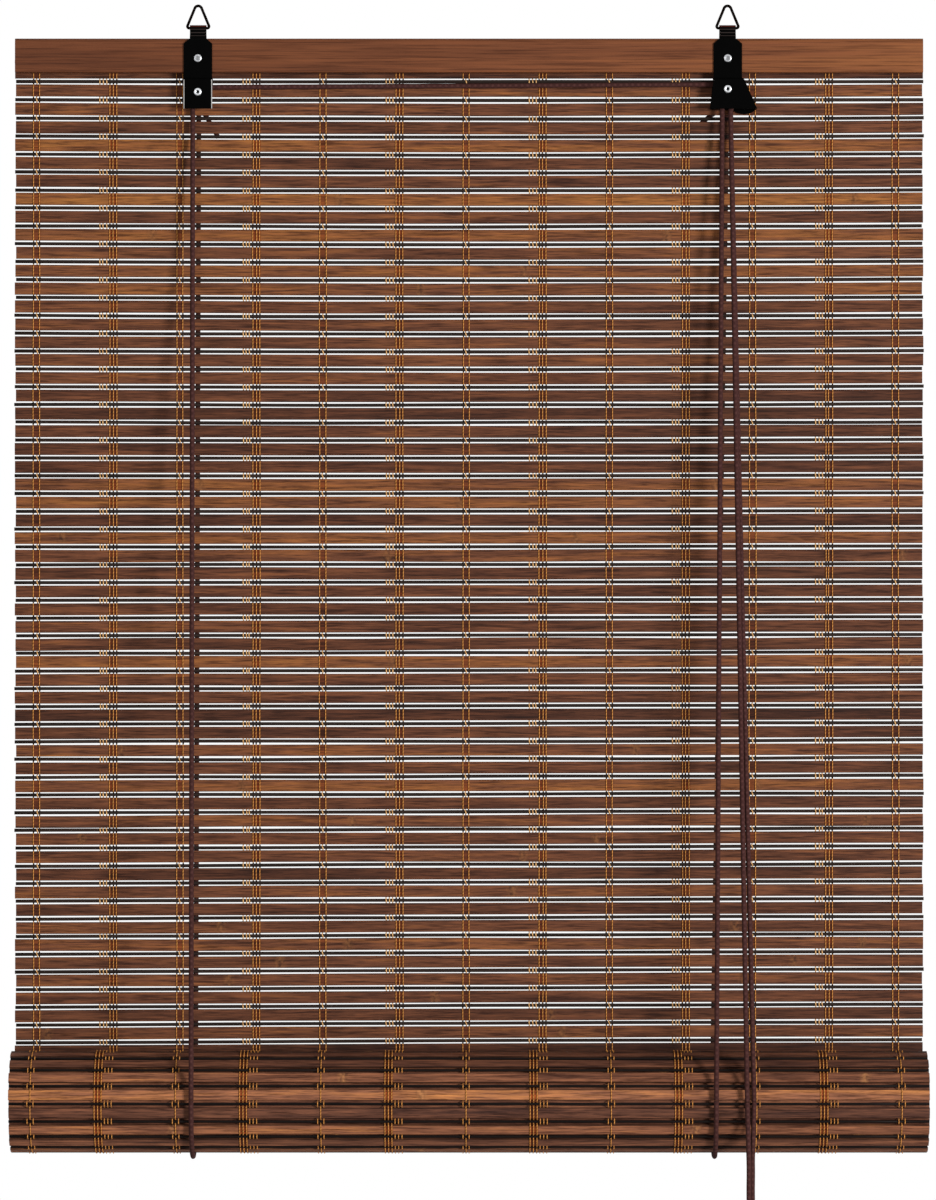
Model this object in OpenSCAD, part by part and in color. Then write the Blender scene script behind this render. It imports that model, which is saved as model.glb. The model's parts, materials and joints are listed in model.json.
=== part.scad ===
// Bamboo roll up blind, part rolled up, hanging from two wire rings.
// X runs along the rail, Y points away from the viewer, Z is up.
// The origin is on the hanging line: the inside of the rings' tips, midway along the rail.

/* [Mat] */
// Length of the slats
mat_w = 600; // [500:10:900]
// Height of a wide slat
slat_h = 7.25; // [6:0.25:9]
// Thickness of a slat, and diameter of a stick
mat_t = 1.8; // [1.4:0.1:2.4]
// Open gap between a slat and a stick
gap = 1.35; // [1:0.05:2]
// Number of slats in the hanging part of the mat
hang_rows = 58; // [40:1:58]
// Chamfer along the edges of a slat
slat_chamfer = 0.3; // [0.1:0.1:0.5]
// How far the mat reaches up behind the rail
mat_lap = 11.7; // [11:0.1:13]
// Open gap between the two top sticks and the first slat
top_gap = 2.55; // [1.5:0.05:3]
// Diameter of a warp thread
thread_d = 0.8; // [0.5:0.1:1]
// Distance from the mat's ends to its outermost warp columns
column_margin = 16.2; // [12:0.2:20]
// How far the warp columns stand off the middle
column_offset = -2; // [-4:0.5:4]

/* [Roll] */
// Radius of the outermost turn, at the middle of the mat's thickness
roll_r = 34; // [32:0.5:36]
// Distance from one turn to the next
turn_pitch = 3.2; // [3:0.1:3.6]
// Radius at which the innermost turn ends
core_r = 14.2; // [14:0.1:16]

/* [Rails] */
// How much shorter than the mat both rails are
rail_short = 1; // [0:0.5:4]
// Height of the head rail
rail_h = 22.5; // [20:0.5:24]
// Thickness of the head rail
rail_t = 9; // [8.5:0.5:11]
// Rounding of the head rail's top edges
rail_edge_r = 3; // [2:0.5:4]
// Rounding of the other rail edges
rail_soft_r = 1; // [0.5:0.25:1.5]
// Thickness of the bottom rail inside the roll
bottom_t = 8; // [6:0.5:8]
// Height of the bottom rail, which the innermost turn holds
bottom_h = 27.4; // [24:0.2:27.4]

/* [Straps] */
// Place of the left strap along the rail
left_x = -178.8; // [-185:0.1:-170]
// Place of the right strap, with the cord lock
right_x = 170.6; // [165:0.1:176]
// Width of a strap
strap_w = 18.8; // [16:0.2:20]
// Width of a strap's neck
neck_w = 10.9; // [9:0.1:11]
// Height from the rail's top to the ring's bar
neck_h = 7; // [6.5:0.1:9]
// Thickness of the sheet
sheet_t = 1; // [0.8:0.1:1.2]
// How far the lower plate steps forward below the rail
joggle = 1.2; // [1:0.1:1.6]
// How far a strap's front plate reaches below the wheel's axle
plate_drop = 12.9; // [11:0.1:15]
// How far the lock's slanted side leans out at its lower end
lock_lean = 8.4; // [7:0.1:9]
// How far the lock's slanted side stands out from the strap at its upper end
lock_shoulder = 1.5; // [1:0.1:2]
// How far the lock's other side leans out at its lower end
lock_flare = 2.2; // [1.5:0.1:4]
// How far the round edge of the lock's back plate shows below the front plate
belly_drop = 3; // [2:0.1:4]
// Thickness of the lock's back plate
lock_plate_t = 0.8; // [0.6:0.1:0.8]

/* [Rings] */
// Diameter of the rings' wire
wire_d = 1.8; // [1.4:0.05:1.8]
// Height from the ring's bar to the inside of its tip
ring_rise = 13.8; // [13:0.1:16]
// Half the width of the ring's triangle
ring_half = 7.7; // [7.7:0.1:9]
// Slope of the ring's sides from the bar
ring_slope = 67.5; // [66.5:0.1:68]
// Bend radius at the ends of the bar
ring_bend = 1.2; // [1:0.1:1.3]

/* [Rivets and wheels] */
// Diameter of the rivets' barrels
barrel_d = 2.4; // [2:0.1:2.6]
// Diameter of the rivets' front heads
head_d = 5.4; // [4.8:0.2:6]
// Height of the rivets' front heads
head_h = 1.2; // [0.8:0.1:1.5]
// Wall between a wheel's bore and the bottom of its groove
wheel_wall = 0.65; // [0.5:0.05:1]
// Thickness of a wheel's flanges
flange_t = 0.4; // [0.3:0.05:0.5]
// Radius of the jamming roller in the lock
roller_r = 2.8; // [2.7:0.1:3]
// How much lower than the right wheel the left one sits
left_drop = 1.9; // [0:0.1:2]

/* [Cords] */
// Diameter of the cords
cord_d = 2.8; // [2.4:0.1:3]

/* [Hidden] */
$fn = 48;

wood_red = [0.47, 0.29, 0.19];
wood_brown = [0.42, 0.27, 0.18];
thread_ochre = [0.71, 0.46, 0.23];
cord_plum = [0.29, 0.19, 0.19];
sheet_black = [0.08, 0.08, 0.09];
steel = [0.72, 0.73, 0.75];
brass = [0.75, 0.62, 0.36];

// Clearances: a running fit, a face that slides or turns, and soft pieces on different bodies
fit = 0.05;
play = 0.2;
apart = 0.3;
cut = 1;

// Wire and thread are a little thicker where runs meet, and straight runs reach a little way into a bend
bend_swell = 0.02;
bend_reach = 0.12;

cord_r = cord_d / 2;
barrel_r = barrel_d / 2;
bore_r = barrel_r + fit;
thread_r = thread_d / 2;
rail_w = mat_w - rail_short;
wire_r = wire_d / 2;

// Heights, from the hanging line down
bar_z = -ring_rise;
rail_top = bar_z - neck_h;
rail_bottom = rail_top - rail_h;
mat_top = rail_bottom + mat_lap;
row_pitch = slat_h + mat_t + 2 * gap;
top_stick_z = mat_top - mat_t / 2;
second_stick_z = top_stick_z - mat_t - gap;
first_slat_z = second_stick_z - mat_t / 2 - top_gap - slat_h / 2;
slat_to_stick = slat_h / 2 + gap + mat_t / 2;
last_stick_z = first_slat_z - (hang_rows - 1) * row_pitch - slat_to_stick;
mat_bottom = last_stick_z - mat_t / 2;
roll_z = mat_bottom - apart;
strap_rivet_z = (top_stick_z + second_stick_z) / 2;
axle_z = first_slat_z - row_pitch;
left_axle_z = axle_z - left_drop;
crease_z = rail_bottom - 3.6;
plate_bottom = axle_z - plate_drop;
back_leg_bottom = axle_z - barrel_d * 1.6;

// Depths, from front to back
rail_front = -rail_t / 2;
mat_front = rail_t / 2;
mat_y = mat_front + mat_t / 2;
mat_back = mat_front + mat_t;
leg_front = rail_front - sheet_t;
plate_inside = rail_front - joggle;
plate_front = leg_front - joggle;
back_leg_back = mat_back + sheet_t;
roll_y = mat_y - roll_r;
lock_plate_front = mat_front - thread_d - play - lock_plate_t;
lock_plate_back = lock_plate_front + lock_plate_t;
wheel_back = lock_plate_front - play;
groove_r = cord_r + 2 * fit;
groove_pitch = 2 * groove_r + flange_t;
back_groove_y = wheel_back - flange_t - groove_r;
front_groove_y = back_groove_y - groove_pitch;
cord_turn_r = bore_r + wheel_wall + cord_r;
cord_run_r = cord_turn_r + apart;
wheel_r = cord_turn_r + 0.8;

// The sheet of a strap slopes at 45 degrees from the rail's rounded top edges to the neck
tent_z = rail_top + rail_t / 2 - rail_edge_r * (2 - sqrt(2)) + fit;
tent_outer = tent_z + sheet_t * sqrt(2);
eye_r = wire_r + 0.07;

// Warp columns: seven with two threads in front and one behind, six with three and three
column_pitch = (mat_w - 2 * column_margin) / 12;
column_x = [for (i = [-6 : 6]) column_offset + i * column_pitch];
pair_half = 2;
triple_step = 2.25;
triple_shift = 3.3;
front_x = [
    for (i = [0 : 12])
        for (k = i % 2 == 0 ? [-1, 1] : [-1, 0, 1])
            column_x[i] + (i % 2 == 0 ? 0 : triple_shift) + k * (i % 2 == 0 ? pair_half : triple_step)
];
back_x = [
    for (i = [0 : 12])
        for (k = i % 2 == 0 ? [0] : [-1, 0, 1])
            column_x[i] - (i % 2 == 0 ? 0 : triple_shift) + k * triple_step
];
web_w = 2 * pair_half + thread_d;
front_thread_y = mat_front - thread_r - 0.02;
back_thread_y = mat_back + thread_r + 0.02;

// Cord routes between the wheels, the roll and the knot below it
sling_x = [-180.8, 160.8];
sling_r = roll_r + mat_t / 2 + cord_r + apart;
sling_end = 184;
post_l = cord_d + 1.6;
post_y = back_leg_back + post_l / 2;
knot_r = cord_d * 1.1;
knot_z = back_leg_bottom - knot_r - fit;
back_cord_y = mat_back + cord_r + apart;
pull_x = [185.4, 180.8];
pull_y = [roll_y - sling_r, roll_y - sling_r - 1.6];
pull_mid = (pull_x[0] + pull_x[1]) / 2;
pull_close = 1.2;
pull_knot_z = -806;

// Solids made by carrying a section along X or Y
module along_x(w) {
    rotate([90, 0, 90]) linear_extrude(w, center = true) children();
}

module along_y(from, to) {
    translate([0, to, 0]) rotate([90, 0, 0]) linear_extrude(to - from) children();
}

module rod_y(x, z, r, from, to) {
    translate([x, to, z]) rotate([90, 0, 0]) cylinder(r = r, h = to - from);
}

module tube_y(x, z, inner, outer, from, to) {
    difference() {
        rod_y(x, z, outer, from, to);
        rod_y(x, z, inner, from - cut, to + cut);
    }
}

// Rectangle with rounded corners, y and z from its lower corner
module soft_rect(w, h, r) {
    translate([r, 0]) square([w - 2 * r, h]);
    translate([0, r]) square([w, h - 2 * r]);
    for (y = [r, w - r])
        for (z = [r, h - r])
            translate([y, z]) circle(r);
}

// Low dome of radius r and height h, standing on z = 0
module dome(r, h) {
    ball = (r * r + h * h) / (2 * h);
    rotate_extrude() intersection() {
        translate([0, h - ball]) circle(ball);
        square([r, h]);
    }
}

function unit(v) = v / norm(v);
function ring_at(p, t, side) =
    let (u = unit(cross(t, side)), v = cross(t, u))
    [for (a = [0 : 45 : 315]) p + cord_r * (cos(a) * u + sin(a) * v)];

// Eight sided tube along a route; side is a direction that the route never takes
module cord(route, side) {
    last = len(route) - 1;
    rings = [
        for (i = [0 : last])
            ring_at(route[i], unit(route[min(i + 1, last)] - route[max(i - 1, 0)]), side)
    ];
    walls = [
        for (i = [0 : last - 1])
            for (j = [0 : 7])
                let (k = (j + 1) % 8)
                [8 * i + j, 8 * i + 8 + j, 8 * i + 8 + k, 8 * i + k]
    ];
    ends = [[for (j = [0 : 7]) j], [for (j = [7 : -1 : 0]) 8 * last + j]];
    color(cord_plum)
        polyhedron(points = [for (r = rings) each r], faces = concat(walls, ends));
}

// Spiral of the rolled mat: s is the length along it from where it leaves the hanging mat
function turned(s) =
    (roll_r - sqrt(roll_r * roll_r - turn_pitch * s / PI)) * 360 / turn_pitch;
function spiral_r(angle) = roll_r - turn_pitch * angle / 360;
function roll_point(angle, off) =
    [roll_y + (spiral_r(angle) + off) * cos(angle), roll_z - (spiral_r(angle) + off) * sin(angle)];

roll_length = PI * (roll_r * roll_r - core_r * core_r) / turn_pitch;
roll_rows = floor((roll_length - gap) / row_pitch);
bridge = thread_r;
stick_flat = mat_t / 4;

// Breakpoints [s, half thickness] of one slat and the stick after it
function row_steps(s) =
    let (stick = s + slat_h + gap)
    [
        [s, mat_t / 2], [s + slat_h, mat_t / 2], [s + slat_h, bridge], [stick, bridge],
        [stick + stick_flat, mat_t / 2], [stick + mat_t - stick_flat, mat_t / 2],
        [stick + mat_t, bridge], [stick + mat_t + gap, bridge]
    ];
roll_steps = [
    for (k = [0 : roll_rows - 1]) each row_steps(gap - apart + k * row_pitch),
    each [for (i = [0, 1]) row_steps(gap - apart + roll_rows * row_pitch)[i]]
];

module slat_section() {
    y = mat_t / 2;
    z = slat_h / 2;
    c = slat_chamfer;
    polygon([
        [-y, c - z], [c - y, -z], [y - c, -z], [y, c - z],
        [y, z - c], [y - c, z], [c - y, z], [-y, z - c]
    ]);
}

module stick(z) {
    translate([-mat_w / 2, mat_y, z]) rotate([0, 90, 0]) cylinder(r = mat_t / 2, h = mat_w);
}

// Hanging part of the mat: slats and sticks in one wall, tied at its outermost warp columns
module slat_mat() {
    color(wood_brown) difference() {
        union() {
            for (k = [0 : hang_rows - 1]) {
                translate([0, mat_y, first_slat_z - k * row_pitch]) along_x(mat_w) slat_section();
                stick(first_slat_z - k * row_pitch - slat_to_stick);
            }
            stick(top_stick_z);
            stick(second_stick_z);
            for (x = [column_x[0], column_x[12]])
                translate([x - web_w / 2, mat_y - bridge, last_stick_z])
                    cube([web_w, 2 * bridge, top_stick_z - last_stick_z]);
        }
        for (p = [[left_x, left_axle_z], [right_x, axle_z]])
            for (z = [strap_rivet_z, p[1]])
                rod_y(p[0], z, bore_r, mat_front - cut, mat_back + cut);
    }
}

module thread_bar(x, y, from, to) {
    translate([x, y, to]) cylinder(r = thread_r, h = from - to);
}

module front_warp_threads() {
    color(thread_ochre)
        for (x = front_x)
            thread_bar(x, front_thread_y, rail_bottom - apart, roll_z + 6);
}

module back_warp_threads() {
    color(thread_ochre)
        for (x = back_x)
            thread_bar(x, back_thread_y, mat_top, mat_bottom);
}

// Turns of the rolled up mat, wound from the back, under and up the front
module rolled_mat() {
    outer = [for (p = roll_steps) roll_point(turned(p[0]), p[1])];
    inner = [for (i = [len(roll_steps) - 1 : -1 : 0])
        roll_point(turned(roll_steps[i][0]), -roll_steps[i][1])];
    color(wood_brown) along_x(mat_w) polygon(concat(outer, inner));
}

// Half turn of thread: the middle of a half circle stands a quarter turn pitch off the roll's axis
module thread_arc(x, half, from, to) {
    r = roll_r - turn_pitch * (half + 0.5) / 2 + mat_t / 2 + thread_r + play;
    off = (half == 0 ? 1 : -1) * turn_pitch / 4;
    translate([x, roll_y + off, roll_z]) rotate([0, 90, 0]) rotate([0, 0, 90 - to])
        rotate_extrude(angle = to - from) translate([r, 0]) circle(thread_r);
}

thread_from = 2;
thread_to = 300;

module roll_warp_threads() {
    color(thread_ochre)
        for (x = back_x) {
            thread_arc(x, 0, thread_from, 180);
            thread_arc(x, 1, 180, thread_to);
            translate([x, roll_point(180, mat_t / 2 + thread_r + play)[0], roll_z])
                sphere(thread_r + bend_swell);
        }
}

module head_rail() {
    color(wood_red) difference() {
        along_x(rail_w) translate([rail_front, rail_bottom]) {
            translate([0, rail_h / 2]) intersection() {
                translate([0, -rail_h / 2]) soft_rect(rail_t, rail_h, rail_edge_r);
                square([rail_t, rail_h / 2]);
            }
            intersection() {
                soft_rect(rail_t, rail_h, rail_soft_r);
                square([rail_t, rail_h / 2]);
            }
        }
        for (x = [left_x, right_x])
            rod_y(x, strap_rivet_z, bore_r, rail_front - cut, mat_front + cut);
    }
}

module bottom_rail() {
    color(wood_red) along_x(rail_w)
        translate([roll_y - bottom_t / 2, roll_z - bottom_h / 2]) soft_rect(bottom_t, bottom_h, rail_soft_r);
}

// Side view of a strap's front half: neck side, slope, leg behind the rivet head, step, lower plate
module front_section() {
    polygon([
        [0, tent_z], [rail_front, tent_z + rail_front], [rail_front, crease_z],
        [plate_inside, crease_z - joggle], [plate_inside, plate_bottom],
        [plate_front, plate_bottom], [plate_front, crease_z - joggle],
        [leg_front, crease_z], [leg_front, tent_outer + leg_front], [0, tent_outer]
    ]);
}

module back_section() {
    polygon([
        [0, tent_z], [mat_back, tent_z - mat_back], [mat_back, back_leg_bottom],
        [back_leg_back, back_leg_bottom], [back_leg_back, tent_outer - back_leg_back], [0, tent_outer]
    ]);
}

// Front view of a strap: the neck, its shoulders and the body down to the step
module body_outline(bottom) {
    neck = neck_w / 2;
    half = strap_w / 2;
    narrow = rail_top - 0.2 * sheet_t;
    wide = rail_top - 3.6 * sheet_t;
    polygon([
        [-neck, tent_outer + cut], [neck, tent_outer + cut], [neck, narrow], [half, wide],
        [half, bottom], [-half, bottom], [-half, wide], [-neck, narrow]
    ]);
}

// Neck of two layers pressed together, with the curled eye and two pressed ridges
module neck() {
    along_x(neck_w) {
        translate([-sheet_t, tent_z]) square([2 * sheet_t, bar_z - tent_z]);
        translate([0, bar_z]) circle(eye_r + sheet_t);
        for (k = [1, 2])
            translate([-sheet_t, tent_outer + k * 1.2 * sheet_t]) circle(0.35 * sheet_t);
    }
}

// One folded strap; its children are the outline of the lower front plate, seen from the front
module strap(x, axle) {
    difference() {
        translate([x, 0, 0]) {
            neck();
            intersection() {
                along_x(4 * strap_w) front_section();
                along_y(plate_front - cut, cut) union() {
                    body_outline(crease_z);
                    children();
                }
            }
            intersection() {
                along_x(2 * strap_w) back_section();
                along_y(-cut, back_leg_back + cut) body_outline(back_leg_bottom - cut);
            }
        }
        translate([x, 0, bar_z]) rotate([0, 90, 0]) cylinder(r = eye_r, h = 2 * neck_w, center = true);
        for (z = [strap_rivet_z, axle])
            rod_y(x, z, bore_r, plate_front - cut, back_leg_back + cut);
    }
}

module left_strap() {
    color(sheet_black) strap(left_x, left_axle_z)
        translate([-strap_w / 2, plate_bottom - cut]) square([strap_w, crease_z - plate_bottom + cut]);
}

// The lock's lower plate leans out on both sides, and its slanted side is folded back as a wall
lock_half = strap_w / 2;
lock_side = lock_half + lock_shoulder;
lock_top = crease_z - joggle;
lock_rise = lock_top - plate_bottom;
wall_w = sheet_t * sqrt(1 + pow(lock_lean / lock_rise, 2));

module lock_outline() {
    polygon([
        [-lock_half, crease_z], [lock_half, crease_z], [lock_side, lock_top],
        [lock_side + lock_lean, plate_bottom], [-lock_half - lock_flare, plate_bottom],
        [-lock_half, lock_top]
    ]);
}

module right_strap() {
    color(sheet_black) {
        strap(right_x, axle_z) lock_outline();
        translate([right_x, 0, 0]) along_y(plate_front, lock_plate_front) polygon([
            [lock_side, lock_top], [lock_side + lock_lean, plate_bottom],
            [lock_side + lock_lean - wall_w, plate_bottom], [lock_side - wall_w, lock_top]
        ]);
    }
}

// Back plate of the lock: the same slanted shape with a round lower edge that shows below the front plate
module lock_back_plate() {
    belly_half = 7.9;
    belly_r = (belly_half * belly_half + belly_drop * belly_drop) / (2 * belly_drop);
    belly_x = lock_side + lock_lean - belly_half - sheet_t / 4;
    belly_z = plate_bottom - belly_drop + belly_r;
    color(sheet_black) difference() {
        translate([right_x, 0, 0]) {
            along_y(lock_plate_front, lock_plate_back) polygon([
                [-lock_half, lock_top], [lock_side, lock_top], [lock_side + lock_lean, plate_bottom],
                [-lock_half - lock_flare, plate_bottom]
            ]);
            along_y(lock_plate_front, lock_plate_back) intersection() {
                translate([belly_x, belly_z]) circle(belly_r);
                translate([-lock_half, plate_bottom - belly_r])
                    square([lock_half + lock_side + lock_lean, belly_r + play]);
            }
        }
        rod_y(right_x, axle_z, bore_r, lock_plate_front - cut, lock_plate_back + cut);
    }
}

// Triangular ring of round wire: three straight runs and three bends
ring_tip_z = ring_half * tan(ring_slope);
ring_tip_half = 90 - ring_slope;
ring_tip_r = (ring_tip_z - ring_rise - wire_r) / (1 / sin(ring_tip_half) - 1);
bar_trim = ring_bend / tan(ring_slope / 2);
tip_trim = ring_tip_r / tan(ring_tip_half);
side_l = ring_half / cos(ring_slope) - bar_trim - tip_trim;

module bend(x, z, r, from, angle) {
    translate([x, 0, z]) rotate([90, 0, 0]) rotate([0, 0, from])
        rotate_extrude(angle = angle) translate([r, 0]) circle(wire_r + bend_swell);
}

module ring(x) {
    color(sheet_black) translate([x, 0, bar_z]) {
        rotate([0, 90, 0])
            cylinder(r = wire_r, h = 2 * (ring_half - bar_trim + bend_reach), center = true);
        for (s = [-1, 1])
            translate([s * (ring_half - bar_trim * cos(ring_slope)), 0, bar_trim * sin(ring_slope)])
                rotate([0, -s * ring_tip_half, 0]) translate([0, 0, -bend_reach])
                    cylinder(r = wire_r, h = side_l + 2 * bend_reach);
        bend(bar_trim - ring_half, ring_bend, ring_bend, 90 + ring_slope, 180 - ring_slope);
        bend(ring_half - bar_trim, ring_bend, ring_bend, -90, 180 - ring_slope);
        bend(0, ring_tip_z - ring_tip_r / sin(ring_tip_half), ring_tip_r, ring_tip_half, 2 * ring_slope);
    }
}

module left_ring() { ring(left_x); }
module right_ring() { ring(right_x); }

// Rivet through everything that the strap clamps; front is the face under its head
module rivet(x, z, front, end, tail_r, tail_t, hollow) {
    color(steel) difference() {
        union() {
            translate([x, front, z]) rotate([90, 0, 0]) dome(head_d / 2, head_h);
            rod_y(x, z, barrel_r, front, end);
            rod_y(x, z, tail_r, end - tail_t, end);
        }
        if (hollow)
            rod_y(x, z, barrel_r * 0.65, front - head_h - cut, end - 2 * tail_t);
    }
}

module strap_rivet(x) {
    rivet(x, strap_rivet_z, leg_front, back_leg_back + 0.7, head_d / 2.4, 0.7, false);
}

module axle_rivet(x, axle) {
    rivet(x, axle, plate_front, back_leg_back + post_l + 0.7, head_d / 2.4, 0.7, true);
}

module left_strap_rivet() { strap_rivet(left_x); }
module right_strap_rivet() { strap_rivet(right_x); }
module left_axle_rivet() { axle_rivet(left_x, left_axle_z); }
module right_axle_rivet() { axle_rivet(right_x, axle_z); }

// Grooved wheel with one groove at each depth in the list
module wheel(x, axle, grooves) {
    front = grooves[0] - groove_r - flange_t;
    color(brass) difference() {
        tube_y(x, axle, bore_r, wheel_r, front, wheel_back);
        for (y = grooves)
            translate([x, y, axle]) rotate([90, 0, 0]) rotate_extrude() {
                translate([cord_turn_r, 0]) circle(groove_r);
                translate([cord_turn_r, -groove_r]) square([wheel_r, 2 * groove_r]);
            }
    }
}

module left_wheel() { wheel(left_x, left_axle_z, [back_groove_y]); }
module right_wheel() { wheel(right_x, axle_z, [front_groove_y, back_groove_y]); }

collar_r = bore_r + 1.1;

module left_spacer() {
    color(steel) tube_y(left_x, left_axle_z, bore_r, collar_r, plate_inside,
        back_groove_y - groove_r - flange_t - play);
}

module left_washer() {
    color(steel) tube_y(left_x, left_axle_z, bore_r, collar_r, wheel_back + play, mat_front);
}

module right_front_washer() {
    color(steel) tube_y(right_x, axle_z, bore_r, collar_r, plate_inside,
        front_groove_y - groove_r - flange_t - play);
}

module right_rear_washer() {
    color(steel) tube_y(right_x, axle_z, bore_r, collar_r, lock_plate_back, mat_front);
}

// Jamming roller, between the pull cords and the lock's slanted wall
roller_x = right_x + cord_run_r + cord_r + apart + roller_r;
wall_lean = atan(lock_lean / lock_rise);
roller_wall = lock_side - wall_w - (roller_x - right_x);
roller_z = lock_top + (roller_wall - (roller_r + play) / cos(wall_lean)) / tan(wall_lean);

module lock_roller() {
    color(steel) rod_y(roller_x, roller_z, roller_r, plate_inside + play, wheel_back);
}

// Cords. Routes are in order from the fixed end behind the mat to the pull end.
function sling_route(x) = [
    for (a = [1 : 9.15 : sling_end + 1]) [x, roll_y + sling_r * cos(a), roll_z - sling_r * sin(a)]
];
function turn_route(x, y, z, from, to) = [
    for (a = [from : -22.5 : to]) [x + cord_run_r * cos(a), y, z + cord_run_r * sin(a)]
];
sling_top = [roll_y + sling_r * cos(sling_end), roll_z - sling_r * sin(sling_end)];
off_wheel = wheel_r + fit;

module back_cord(x, sling) {
    cord([[x, post_y, knot_z], [x, post_y, knot_z - 8], [sling, back_cord_y, roll_z + apart]], [1, 0, 0]);
}

module front_cord(x, y, axle, sling) {
    cord([[x - cord_run_r, y, axle], [x - cord_run_r, y, axle - off_wheel],
        [sling, sling_top[0], sling_top[1] + apart]], [1, 0, 0]);
}

module left_back_cord() { back_cord(left_x, sling_x[0]); }
module right_back_cord() { back_cord(right_x, sling_x[1]); }
module left_sling_cord() { cord(sling_route(sling_x[0]), [1, 0, 0]); }
module right_sling_cord() { cord(sling_route(sling_x[1]), [1, 0, 0]); }
module left_front_cord() { front_cord(left_x, back_groove_y, left_axle_z, sling_x[0]); }
module right_front_cord() { front_cord(right_x, front_groove_y, axle_z, sling_x[1]); }

module crossing_cord() {
    cord(concat(turn_route(left_x, back_groove_y, left_axle_z, 180, 90),
        turn_route(right_x, back_groove_y, axle_z, 90, 0)), [0, 1, 0]);
}

module right_turn_cord() {
    cord(turn_route(right_x, front_groove_y, axle_z, 180, 0), [0, 1, 0]);
}

module pull_cord(y, i) {
    cord([[right_x + cord_run_r, y, axle_z], [right_x + cord_run_r, y, axle_z - off_wheel],
        [pull_x[i], pull_y[i], roll_z + 2]], [1, 0, 0]);
}

module pull_end(i, side) {
    cord([[pull_x[i], pull_y[i], roll_z + 2 - apart],
        [pull_mid + side * pull_close, pull_y[i], roll_z - sling_r],
        [pull_mid + side * pull_close, pull_y[i], pull_knot_z]], [1, 0, 0]);
}

module left_pull_cord() { pull_cord(back_groove_y, 0); }
module right_pull_cord() { pull_cord(front_groove_y, 1); }
module left_pull_end() { pull_end(0, 1); }
module right_pull_end() { pull_end(1, -1); }

// Fixed end: a loop round the rivet's post, a knot under it and a short tail
module cord_knot(x, axle, lean) {
    color(cord_plum) {
        translate([x, post_y, axle]) rotate([90, 0, 0])
            rotate_extrude() translate([barrel_r + fit + cord_r, 0]) circle(cord_r);
        translate([x, post_y, knot_z]) {
            sphere(knot_r);
            cylinder(r = cord_r - fit, h = axle - knot_z - barrel_r - cord_r);
            rotate([0, lean, 0]) cylinder(r = cord_r - 2 * fit, h = 24);
        }
    }
}

module left_cord_knot() { cord_knot(left_x, left_axle_z, 148); }
module right_cord_knot() { cord_knot(right_x, axle_z, -129); }

module pull_cord_knot() {
    color(cord_plum) translate([pull_mid, (pull_y[0] + pull_y[1]) / 2, pull_knot_z])
        sphere(cord_d * 1.6);
}

head_rail();
slat_mat();
front_warp_threads();
back_warp_threads();
rolled_mat();
roll_warp_threads();
bottom_rail();
left_strap();
right_strap();
lock_back_plate();
left_ring();
right_ring();
left_strap_rivet();
right_strap_rivet();
left_axle_rivet();
right_axle_rivet();
left_wheel();
right_wheel();
left_spacer();
left_washer();
right_front_washer();
right_rear_washer();
lock_roller();
left_back_cord();
right_back_cord();
left_sling_cord();
right_sling_cord();
left_front_cord();
right_front_cord();
crossing_cord();
right_turn_cord();
left_pull_cord();
right_pull_cord();
left_pull_end();
right_pull_end();
left_cord_knot();
right_cord_knot();
pull_cord_knot();
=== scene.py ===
import json

import bmesh
import bpy
import numpy as np
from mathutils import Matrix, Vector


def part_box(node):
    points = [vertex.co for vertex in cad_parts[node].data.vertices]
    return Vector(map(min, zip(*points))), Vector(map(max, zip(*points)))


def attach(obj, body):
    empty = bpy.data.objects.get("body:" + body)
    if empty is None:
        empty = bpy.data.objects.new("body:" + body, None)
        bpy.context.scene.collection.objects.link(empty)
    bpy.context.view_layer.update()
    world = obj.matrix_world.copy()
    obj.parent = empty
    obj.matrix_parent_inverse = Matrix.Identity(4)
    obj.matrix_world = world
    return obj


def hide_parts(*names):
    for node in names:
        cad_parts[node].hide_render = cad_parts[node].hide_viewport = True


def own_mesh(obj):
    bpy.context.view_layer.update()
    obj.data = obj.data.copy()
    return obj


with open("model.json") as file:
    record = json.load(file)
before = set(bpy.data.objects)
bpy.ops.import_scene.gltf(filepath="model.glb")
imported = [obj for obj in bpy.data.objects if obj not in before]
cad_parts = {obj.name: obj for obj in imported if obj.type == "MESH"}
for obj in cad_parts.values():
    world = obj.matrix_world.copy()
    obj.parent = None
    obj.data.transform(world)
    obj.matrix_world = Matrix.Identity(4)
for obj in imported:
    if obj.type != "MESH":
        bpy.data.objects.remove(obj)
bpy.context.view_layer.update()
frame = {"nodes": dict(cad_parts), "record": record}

mm = 0.001
chance = np.random.default_rng(23)


# Shared small tools
def paint(code):
    # sRGB hex to the linear colour that sockets take
    parts = np.array([int(code[i:i + 2], 16) for i in (1, 3, 5)]) / 255
    linear = np.where(parts <= 0.04045, parts / 12.92, ((parts + 0.055) / 1.055) ** 2.4)
    return (*[float(v) for v in linear], 1.0)


def ease(t):
    # smooth step from 0 to 1
    t = np.clip(t, 0, 1)
    return t * t * (3 - 2 * t)


def addObject(name, data):
    made = bpy.data.objects.new(name, data)
    bpy.context.scene.collection.objects.link(made)
    return made


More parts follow.
